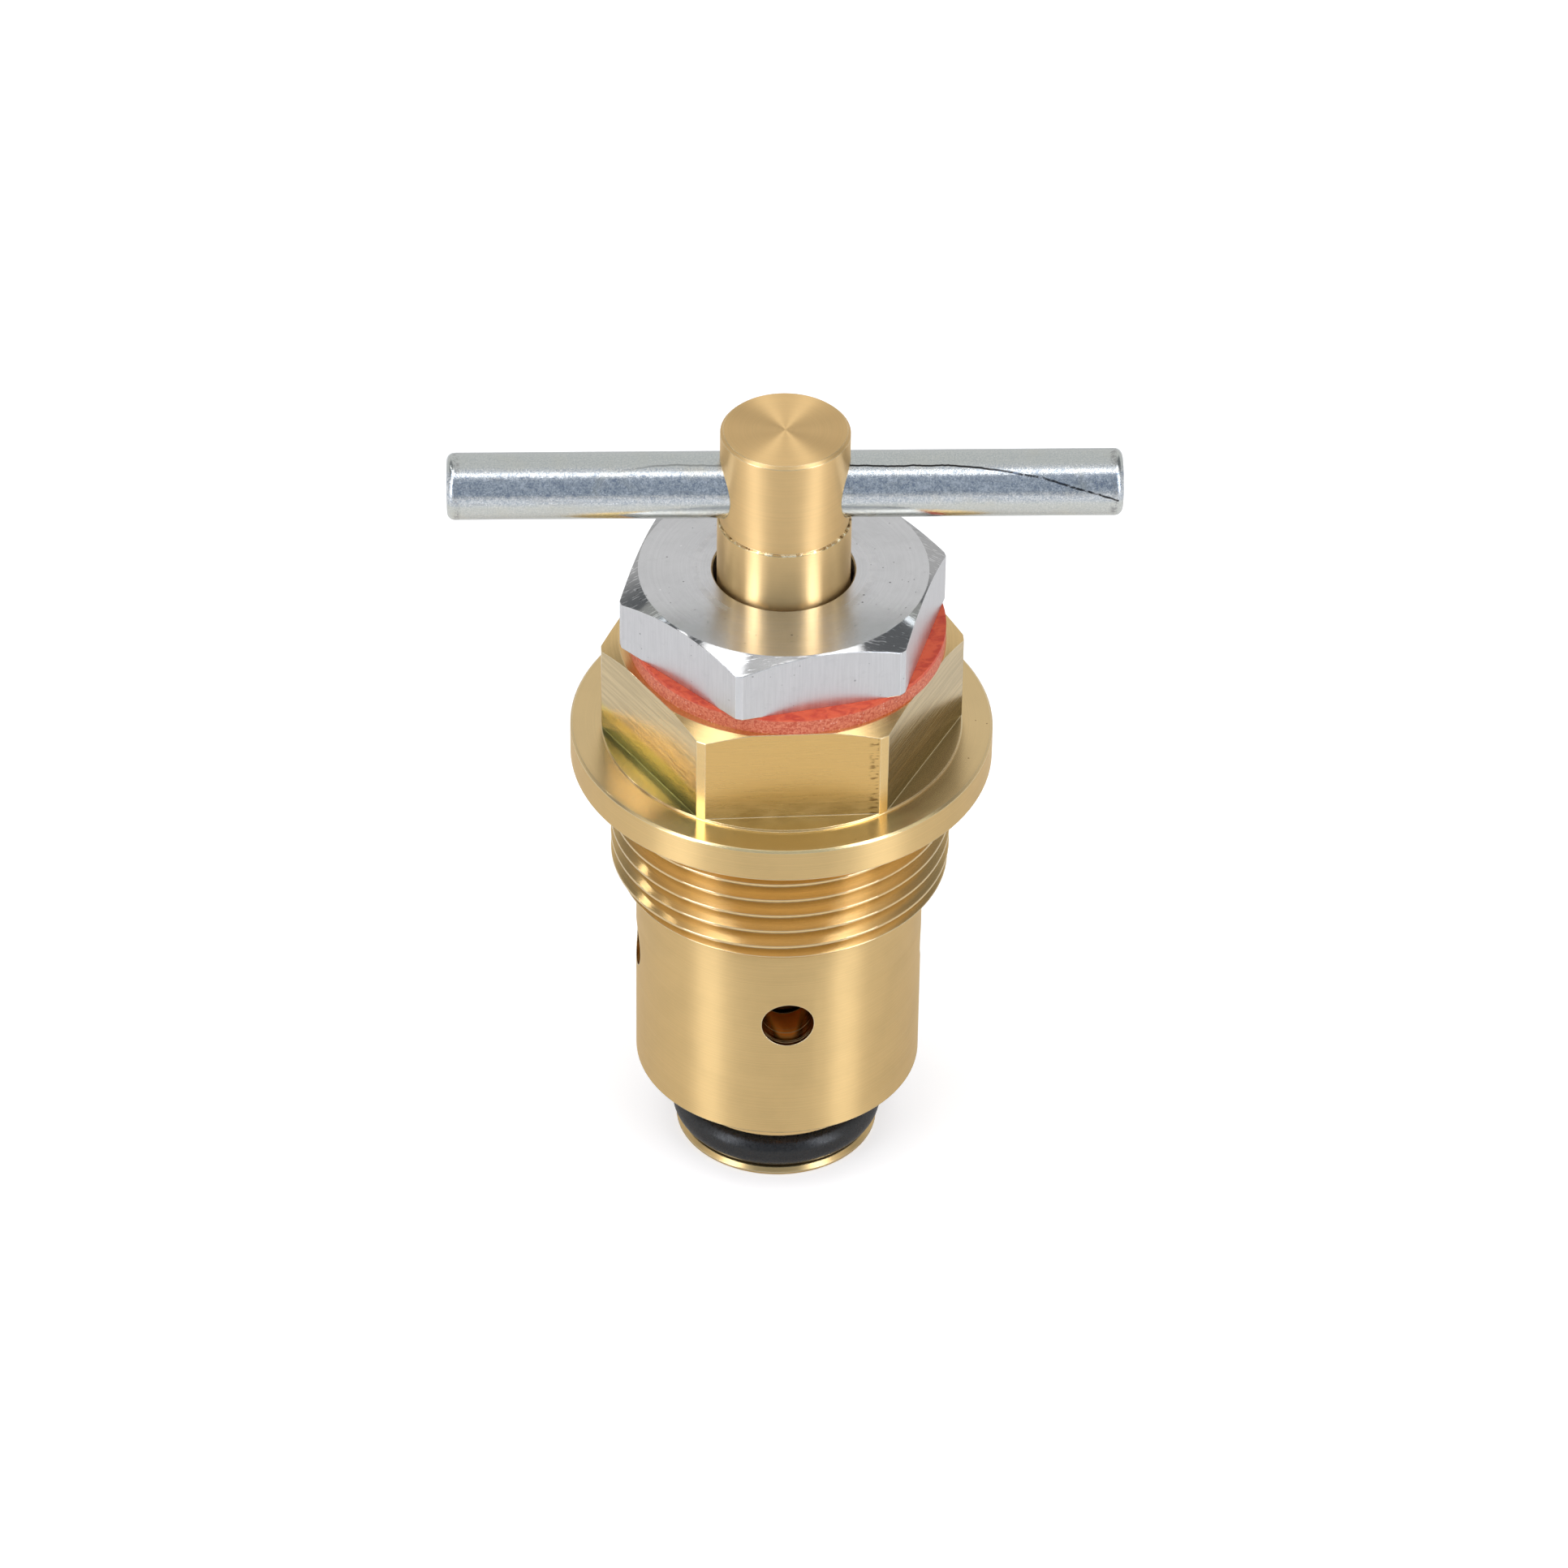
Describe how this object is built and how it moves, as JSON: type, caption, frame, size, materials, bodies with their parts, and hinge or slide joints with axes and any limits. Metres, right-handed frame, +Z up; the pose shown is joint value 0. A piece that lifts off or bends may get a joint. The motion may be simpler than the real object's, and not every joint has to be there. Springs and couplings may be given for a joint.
{
  "type": "screw-in vent valve",
  "caption": "Screw-in brass vent valve: hexagon and flange over a threaded, ported barrel with an O-ring nose, opened by a T-bar spindle through a gland nut.",
  "frame": {"origin": "on the valve's axis, in the plane of the flange's seating face", "axes": "+Z up along the axis towards the T-bar; two flats of the body's hexagon face -Y and +Y, and the T-bar lies close to X with the valve shut"},
  "size_m": [0.0502, 0.032, 0.0661],
  "materials": {
    "body_brass": "satin turned and milled brass",
    "spindle_brass": "satin turned brass",
    "nose_brass": "fine turned brass",
    "nut_aluminium": "turned and milled aluminium",
    "red_fibre": "matte vulcanised fibre",
    "zinc_steel": "zinc-plated steel, slightly smudged",
    "stainless_steel": "plain stainless steel",
    "ring_rubber": "satin black rubber",
    "seal_rubber": "matte black rubber",
    "packing_ptfe": "matte white PTFE"
  },
  "bodies": {
    "housing": {"valve_body": "body_brass", "seat_nose": "nose_brass", "nose_o_ring": "ring_rubber", "shank_o_ring": "ring_rubber", "fibre_washer": "red_fibre", "gland_nut": "nut_aluminium", "packing_base_ring": "nose_brass", "packing_ring_1": "packing_ptfe", "packing_ring_2": "packing_ptfe", "packing_ring_3": "packing_ptfe", "packing_follower": "nose_brass"},
    "carriage": {"thrust_washer": "stainless_steel", "disc_spring": "stainless_steel"},
    "spindle_assembly": {"spindle": "spindle_brass", "tommy_bar": "zinc_steel", "stem_bush": "nose_brass"},
    "disc_assembly": {"valve_disc": "nose_brass", "disc_stem": "stainless_steel", "disc_seal": "seal_rubber", "seal_washer": "stainless_steel", "seal_screw": "stainless_steel"}
  },
  "joints": [
    {"name": "spindle_lift", "type": "slide", "parent": "housing", "child": "carriage", "axis": [0, 0, 1], "range_m": [0, 0.00263]},
    {"name": "spindle_turn", "type": "hinge", "parent": "carriage", "child": "spindle_assembly", "pos_m": [0, 0, 0], "axis": [0, 0, 1], "range_deg": [0, 630.5]},
    {"name": "disc_lift", "type": "slide", "parent": "carriage", "child": "disc_assembly", "axis": [0, 0, 1], "range_m": [0, 0.002], "stiffness_N_per_m": 2000, "springref_m": -0.004, "deforming": ["disc_spring"]}
  ],
  "couplings": [
    {"joint": "spindle_turn", "follows": "spindle_lift", "rad_per_m": 4188.8}
  ]
}
